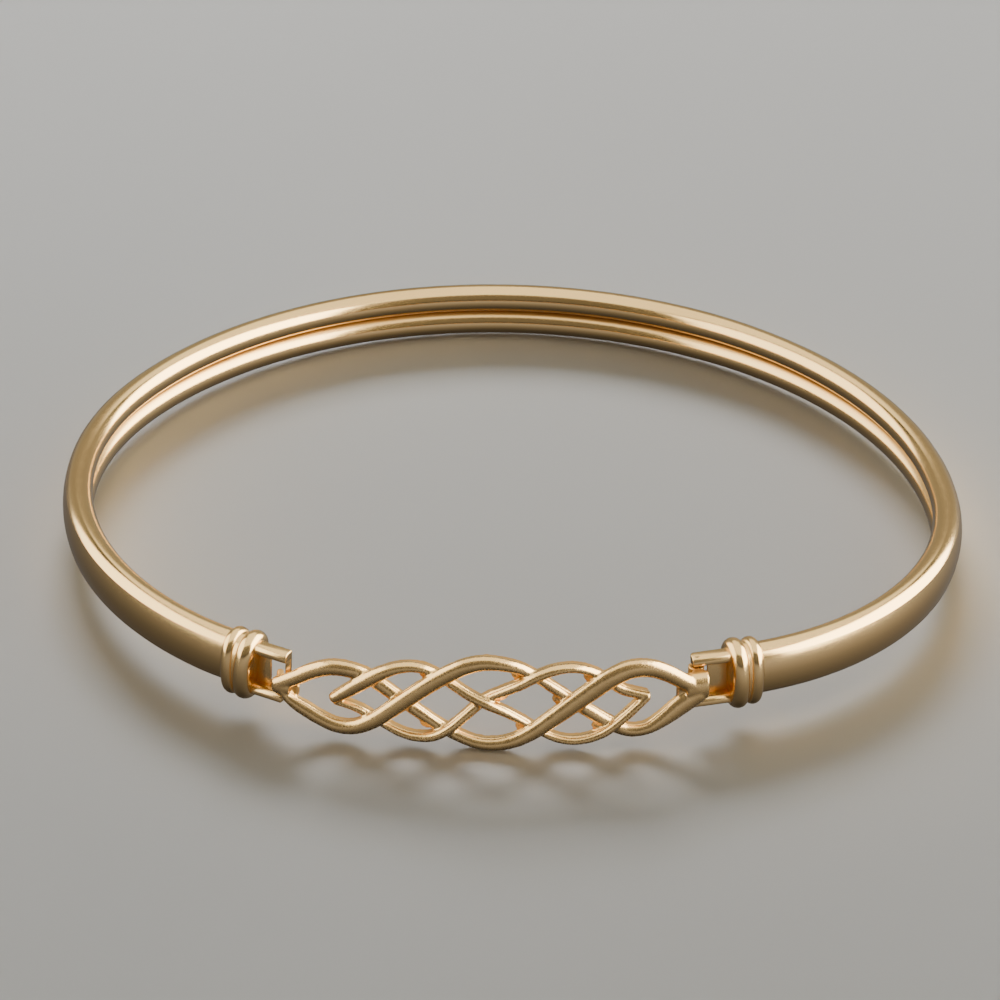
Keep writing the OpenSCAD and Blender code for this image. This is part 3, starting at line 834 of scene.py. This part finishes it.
def add_web(bm, knot, spot, up, wide, tall):
    """A web of metal low in a crossing."""
    part = bmesh.new()
    bmesh.ops.create_icosphere(part, subdivisions=3, radius=1)
    place = station(knot, ((spot - 1, up, WEB_LEVEL, 2), (spot + 1, up, WEB_LEVEL, 2)), 0.5)
    bmesh.ops.transform(part, matrix=place @ Matrix.Diagonal((tall, WEB_DEPTH, wide, 1)), verts=part.verts)
    shave_back(part, knot)
    join(bm, part)


def narrowed(share):
    """Makes a section smaller about its middle."""
    return Matrix.Diagonal((share, share, 1, 1))


def cast_skin(bm, step, rounds):
    """Melts overlapping shapes into one skin and softens its creases, as casting does."""
    mesh = bpy.data.meshes.new("cast")
    bm.to_mesh(mesh)
    bm.free()
    thing = bpy.data.objects.new("cast", mesh)
    bpy.context.scene.collection.objects.link(thing)
    melt = thing.modifiers.new("melt", "REMESH")
    melt.mode = "VOXEL"
    melt.voxel_size = step
    ready = thing.evaluated_get(bpy.context.evaluated_depsgraph_get())
    bm = bmesh.new()
    bm.from_mesh(ready.data)
    bpy.data.objects.remove(thing)
    bpy.data.meshes.remove(mesh)
    axes = {"use_axis_x": True, "use_axis_y": True, "use_axis_z": True}
    for _ in range(rounds):
        bmesh.ops.smooth_vert(bm, verts=bm.verts, factor=0.5, **axes)
    return bm


def add_knuckle(bm, knot, up):
    """The ring that turns on the hinge pin."""
    part = bmesh.new()
    low = up - knot.hinge_lug_h / 2 + HAIR
    high = up + knot.hinge_lug_h / 2 - HAIR
    wall = [part.verts.new((knot.bore_r, 0, low)), part.verts.new((knot.knuckle_r, 0, low))]
    wall += [part.verts.new((knot.knuckle_r, 0, high)), part.verts.new((knot.bore_r, 0, high))]
    edges = [part.edges.new((wall[i], wall[(i + 1) % 4])) for i in range(4)]
    bmesh.ops.spin(
        part, geom=edges, cent=(0, 0, 0), axis=UP, dvec=(0, 0, 0), angle=math.tau, steps=40, use_merge=True
    )
    rims = [e for e in part.edges if abs(e.verts[0].co.z - e.verts[1].co.z) < 1e-5]
    rims = [e for e in rims if abs(e.verts[0].co.xy.length - e.verts[1].co.xy.length) < 1e-4]
    bmesh.ops.recalc_face_normals(part, faces=part.faces)
    round_off(part, rims, offset=0.06, segments=3)
    bmesh.ops.transform(part, matrix=Matrix.Translation(PATH.pin_point), verts=part.verts)
    join(bm, part)


class MakeKnot(bpy.types.Operator):
    """Weave the strands of the knot panel, with its lugs, knuckle and tongue"""

    bl_idname = "bangle.knot"
    bl_label = "Knot panel"

    def execute(self, context):
        knot = sizes("bangle_knot")
        f = PATH.fittings
        bm = bmesh.new()
        for strand in STRANDS:
            add_strand(bm, knot, *strand)
        for web in WEBS:
            add_web(bm, knot, *web)
        hinge_up = knot.hinge_lug_up
        free_up = knot.catch_lug_up
        lug_in = knot.lug_r - knot.out
        half = knot.hinge_lug_h / 2
        low = (-HINGE_LUG_L, -knot.out, hinge_up - half)
        high = (knot.lug_r, lug_in, hinge_up + half)
        add_block(bm, PATH.at_hinge_lug(), low, high, offset=0.1)
        low = (f.pin_along - NECK_HALF, -knot.out, hinge_up - half)
        high = (f.pin_along + NECK_HALF, PATH.pin_in - NECK_SHORT, hinge_up + half)
        add_block(bm, PATH.at_hinge_stirrup(), low, high, offset=0.08)
        add_block(bm, PATH.at_free_lug(), *FREE_FOOT)
        add_block(bm, PATH.at_hinge_lug(), *HINGE_FOOT)
        half = knot.catch_lug_h / 2 - FREE_LUG_IN
        low = (-FREE_LUG_L, -knot.out, free_up - half)
        high = (knot.lug_r - FREE_LUG_IN, lug_in, free_up + half)
        add_block(bm, PATH.at_free_lug(), low, high, offset=0.25, segments=4)
        corner = PATH.at_catch() @ Vector((f.bar_w - f.catch_nose, f.bar_in, 0))
        far = corner.x - knot.tongue_gap
        half = knot.tongue_h / 2
        low = (far - knot.tongue_w, PATH.free_point.y - 0.2, free_up - half)
        high = (far, PATH.free_point.y + knot.tongue_l, free_up + half)
        add_block(bm, Matrix.Identity(4), low, high, offset=0.15)
        bm = cast_skin(bm, knot.grain, rounds=4)
        add_knuckle(bm, knot, hinge_up)
        in_metres(bm)
        gold = cast_gold("cast_gold")
        solid("knot", bm, gold, "panel", ["knot_panel"], sharp=50)
        return {"FINISHED"}


class FinishPin(bpy.types.Operator):
    """Give the hinge pin its gold"""

    bl_idname = "bangle.pin"
    bl_label = "Hinge pin"

    def execute(self, context):
        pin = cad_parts["hinge_pin"]
        pin.data.materials.clear()
        pin.data.materials.append(polished_gold("pin_gold", roughness=0.22, deep=0.25))
        return {"FINISHED"}


# The lights: name, place, what they point at, width, height, power in watts, and whether they show on the
# metal or light the floor. Places and sizes are in metres.
SOFTBOXES = (
    ("left window", (-0.45, 0.0, 0.3), (0, 0.0, 0.3), 0.8, 0.6, 9.0, True),
    ("right window", (0.45, 0.0, 0.3), (0, 0.0, 0.3), 0.8, 0.6, 24.0, True),
    ("ceiling", (0.0, 0.16, 0.55), (0, 0.16, 0), 0.7, 1.12, 6.3, True),
    ("front wall", (0.0, -0.75, 0.55), (0, 0, 0.55), 1.2, 0.8, 0.55, True),
    ("back wall", (0.0, 0.6, 0.24), (0, 0, 0.24), 1.3, 0.48, 0.9, True),
    ("floor light", (-0.05, 0.42, 0.3), (0, 0.01, 0), 0.25, 0.16, 2.5, False),
)
# The colours of the lights that show on the metal, and of the one that lights the floor.
WARM = (1.0, 0.93, 0.7)
WHITE = (1, 1, 1)
# The room's brightness by height, from straight down at 0 to straight up at 1, and its warmth.
ROOM = ((0.0, 0.05), (0.25, 0.2), (0.49, 0.45), (0.51, 0.055), (1.0, 0.055))
ROOM_TINT = (1, 0.98, 0.96)
# How much brighter the room gets towards +X, +Y and +Z, and its middle brightness.
ROOM_SIDE = (0.45, -0.5, 0)
ROOM_POWER = 1.3
# Half the floor's side in metres, its slope in degrees, and its middle, which lies under the panel.
FLOOR_HALF = 3
FLOOR_SLOPE = 2.0
FLOOR_MIDDLE = (0, -0.028, 0)
# The camera that was fitted to the photograph: degrees above the floor, degrees of roll, the focal length in
# pixels, metres to the target, the target in the walk's millimetres, the frame's width in pixels, and the
# sensor's width in millimetres.
CAMERA_RISE = 30.394
CAMERA_ROLL = 1.357
CAMERA_FOCUS = 7085.009
CAMERA_WAY = 0.522705
CAMERA_TARGET = (0.373, 27.323, 0)
FRAME_WIDTH = 1000
SENSOR_WIDTH = 36


class MakeStage(bpy.types.Operator):
    """Lay the floor, and set up the lights and the camera"""

    bl_idname = "bangle.stage"
    bl_label = "Stage"

    def execute(self, context):
        self.floor(context)
        self.lights(context)
        self.room(context)
        self.camera(context)
        return {"FINISHED"}

    def floor(self, context):
        """A plain pale floor that rises gently towards the back."""
        bm = bmesh.new()
        bmesh.ops.create_grid(bm, x_segments=1, y_segments=1, size=FLOOR_HALF)
        slope = Matrix.Rotation(math.radians(FLOOR_SLOPE), 4, "X")
        bmesh.ops.transform(bm, matrix=Matrix.Translation(FLOOR_MIDDLE) @ slope, verts=bm.verts)
        mesh = bpy.data.meshes.new("floor")
        bm.to_mesh(mesh)
        bm.free()
        n = Nodes(bpy.data.materials.new("studio_floor"))
        where = n.place(1)
        cloud = n.noise(where, 6.0, 4)
        pale = sizes("bangle_finish").floor[:]
        colour = n.mix(n.fit(cloud, 0.3, 0.7, 0, 0.3), pale, (0.55, 0.55, 0.55, 1))
        rough = n.fit(cloud, 0.3, 0.7, 0.7, 0.85)
        fine = n.bump(n.noise(where, 900, 3), 0.05, 0.0001)
        mesh.materials.append(n.finish(colour, rough, fine, 0.0))
        floor = bpy.data.objects.new("floor", mesh)
        context.scene.collection.objects.link(floor)
        floor.visible_glossy = False

    def lights(self, context):
        """The soft lights."""
        for name, spot, aim, width, height, power, on_metal in SOFTBOXES:
            light = bpy.data.lights.new(name, "AREA")
            light.shape = "RECTANGLE"
            light.size = width
            light.size_y = height
            light.energy = power
            light.color = WARM if on_metal else WHITE
            lamp = bpy.data.objects.new(name, light)
            back = (Vector(spot) - Vector(aim)).to_track_quat("Z", "Y").to_matrix().to_4x4()
            lamp.matrix_world = Matrix.Translation(spot) @ back
            lamp.visible_diffuse = not on_metal
            lamp.visible_glossy = on_metal
            context.scene.collection.objects.link(lamp)

    def room(self, context):
        """The dim room that the metal shows: lightest just under eye level, and darker towards the floor."""
        world = bpy.data.worlds.new("studio")
        n = Nodes(world)
        stops = [(spot, [light * tint for tint in ROOM_TINT] + [1]) for spot, light in ROOM]
        way = n.add("ShaderNodeTexCoord")
        height = n.add("ShaderNodeSeparateXYZ", {}, way, out=2)
        light = n.add("ShaderNodeValToRGB", {"stops": stops}, n.fit(height, -1, 1))
        side = n.add("ShaderNodeVectorMath", {"operation": "DOT_PRODUCT"}, way, ROOM_SIDE, out=1)
        glow = n.add("ShaderNodeBackground", {}, light, side + ROOM_POWER)
        n.add("ShaderNodeOutputWorld", {}, glow)
        context.scene.world = world

    def camera(self, context):
        """The camera at the photograph's viewing angle."""
        rise = math.radians(CAMERA_RISE)
        roll = math.radians(CAMERA_ROLL)
        back = Vector((0, -math.cos(rise), math.sin(rise)))
        level = Vector((1, 0, 0))
        steep = level.cross(-back)
        right = level * math.cos(roll) + steep * math.sin(roll)
        up = steep * math.cos(roll) - level * math.sin(roll)
        target = Vector(CAMERA_TARGET) * MM + PATH.origin
        data = bpy.data.cameras.new("camera")
        data.sensor_width = SENSOR_WIDTH
        data.lens = SENSOR_WIDTH * CAMERA_FOCUS / FRAME_WIDTH
        data.clip_start = 0.01
        data.clip_end = 20
        eye = bpy.data.objects.new("camera", data)
        view = Matrix.Identity(4)
        for column, axis in enumerate((right, up, back)):
            view.col[column].xyz = axis
        view.col[3].xyz = target + back * CAMERA_WAY
        eye.matrix_world = view
        context.scene.collection.objects.link(eye)
        context.scene.camera = eye


class BanglePanel(bpy.types.Panel):
    """Lists the pieces of the bangle"""

    bl_idname = "VIEW3D_PT_bangle"
    bl_label = "Hinged Bangle"
    bl_space_type = "VIEW_3D"
    bl_region_type = "UI"
    bl_category = "Bangle"

    def draw(self, context):
        for maker in MAKERS:
            self.layout.operator(maker.bl_idname)
        for group in GROUPS:
            box = self.layout.box()
            for name in GROUPS[group].__annotations__:
                box.prop(getattr(context.scene, group), name)


GROUPS = {
    "bangle_oval": OvalSizes,
    "bangle_band": BandSizes,
    "bangle_fittings": FittingSizes,
    "bangle_knot": KnotSizes,
    "bangle_finish": FinishColours,
}
MAKERS = (MakeBandTube, MakeFittings, MakeKnot, FinishPin, MakeStage)


def register():
    for group, kind in GROUPS.items():
        bpy.utils.register_class(kind)
        setattr(bpy.types.Scene, group, bpy.props.PointerProperty(type=kind))
    for kind in MAKERS + (BanglePanel,):
        bpy.utils.register_class(kind)


def unregister():
    for kind in reversed(MAKERS + (BanglePanel,)):
        bpy.utils.unregister_class(kind)
    for group, kind in reversed(GROUPS.items()):
        delattr(bpy.types.Scene, group)
        bpy.utils.unregister_class(kind)


def main():
    global PATH
    register()
    PATH = Walk(sizes("bangle_oval"), sizes("bangle_fittings"))
    low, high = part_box("hinge_pin")
    PATH.origin = (low + high) / 2 - PATH.pin_point * MM
    bpy.ops.bangle.band_tube()
    bpy.ops.bangle.fittings()
    bpy.ops.bangle.knot()
    bpy.ops.bangle.pin()
    bpy.ops.bangle.stage()


if __name__ == "__main__":
    main()
